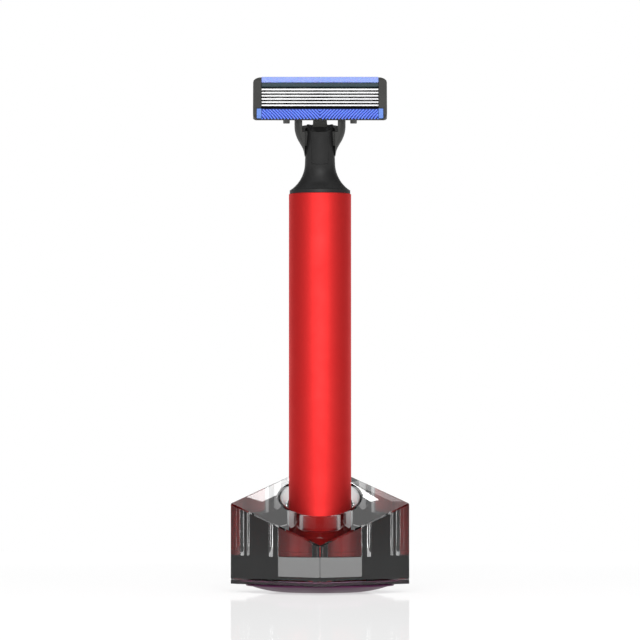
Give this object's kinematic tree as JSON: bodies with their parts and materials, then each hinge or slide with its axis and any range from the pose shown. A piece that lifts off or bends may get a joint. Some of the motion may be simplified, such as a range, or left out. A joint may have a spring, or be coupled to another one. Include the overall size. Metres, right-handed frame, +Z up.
{
  "type": "cartridge razor",
  "caption": "Manual cartridge razor with a straight tubular handle, pivoting wide blade cartridge and a slant-topped block stand that holds it upright.",
  "frame": {"origin": "middle of the stand's flat underside, 5.5 mm in front of the handle's centre line", "axes": "+Z up along the handle; the razor's face looks towards -Y; +X to the right for a viewer who looks at the face, along the blades"},
  "size_m": [0.056, 0.056, 0.1619],
  "materials": {
    "smoked_acrylic": "polished",
    "base_plate": "polished",
    "plum_gel": "glossy",
    "red_anodised": "satin",
    "black_rubber": "matte",
    "steel": "satin",
    "blade_steel": "polished",
    "brass": "satin",
    "charcoal": "satin",
    "charcoal_gloss": "glossy",
    "teal_plastic": "satin",
    "blue_strip": "satin",
    "blue_plastic": "satin",
    "blue_rubber": "satin"
  },
  "bodies": {
    "stand": {"stand_block": "smoked_acrylic", "base_plate": "base_plate", "foot_pad": "plum_gel"},
    "handle": {"handle_tube": "red_anodised", "end_cap": "red_anodised", "end_cap_ring": "black_rubber", "neck_ring": "black_rubber", "tie_rod": "steel", "threaded_insert": "brass", "neck": "charcoal", "neck_cover": "charcoal", "cover_screws": "steel", "button_spring": "steel", "plunger_spring": "steel"},
    "eject_button": {"eject_button": "charcoal"},
    "plunger": {"plunger": "charcoal_gloss"},
    "connector": {"connector": "charcoal"},
    "cartridge": {"cartridge_housing": "charcoal", "retainer_left": "charcoal", "retainer_right": "charcoal", "strip_holder": "teal_plastic", "lubricating_strip": "blue_strip", "guard_base": "blue_plastic", "guard_fins": "blue_rubber", "blade_1": "blade_steel", "blade_2": "blade_steel", "blade_3": "blade_steel", "blade_4": "blade_steel", "blade_5": "blade_steel", "blade_6": "blade_steel", "blade_support_1": "steel", "blade_support_2": "steel", "blade_support_3": "steel", "blade_support_4": "steel", "blade_support_5": "steel", "blade_support_6": "steel"}
  },
  "joints": [
    {"name": "handle_lift", "type": "slide", "parent": "stand", "child": "handle", "axis": [0, 0, 1], "range_m": [0, 0.06]},
    {"name": "button_slide", "type": "slide", "parent": "handle", "child": "eject_button", "axis": [0, -0.342, 0.9397], "range_m": [0, 0.0025], "stiffness_N_per_m": 400, "springref_m": -0.001, "deforming": ["button_spring"]},
    {"name": "cartridge_release", "type": "slide", "parent": "handle", "child": "connector", "axis": [0, -0.342, 0.9397], "range_m": [0, 0.012]},
    {"name": "cartridge_pivot", "type": "hinge", "parent": "connector", "child": "cartridge", "pos_m": [0, -0.00238, 0.14943], "axis": [-1, 0, 0], "range_deg": [0, 38], "stiffness_Nm_per_rad": 0.01, "springref_deg": -34.38},
    {"name": "plunger_slide", "type": "slide", "parent": "handle", "child": "plunger", "axis": [0, -0.342, 0.9397], "range_m": [-0.00255, 0], "deforming": ["plunger_spring"]}
  ],
  "couplings": [
    {"joint": "plunger_slide", "follows": "cartridge_pivot", "m_per_rad": -0.00377}
  ]
}
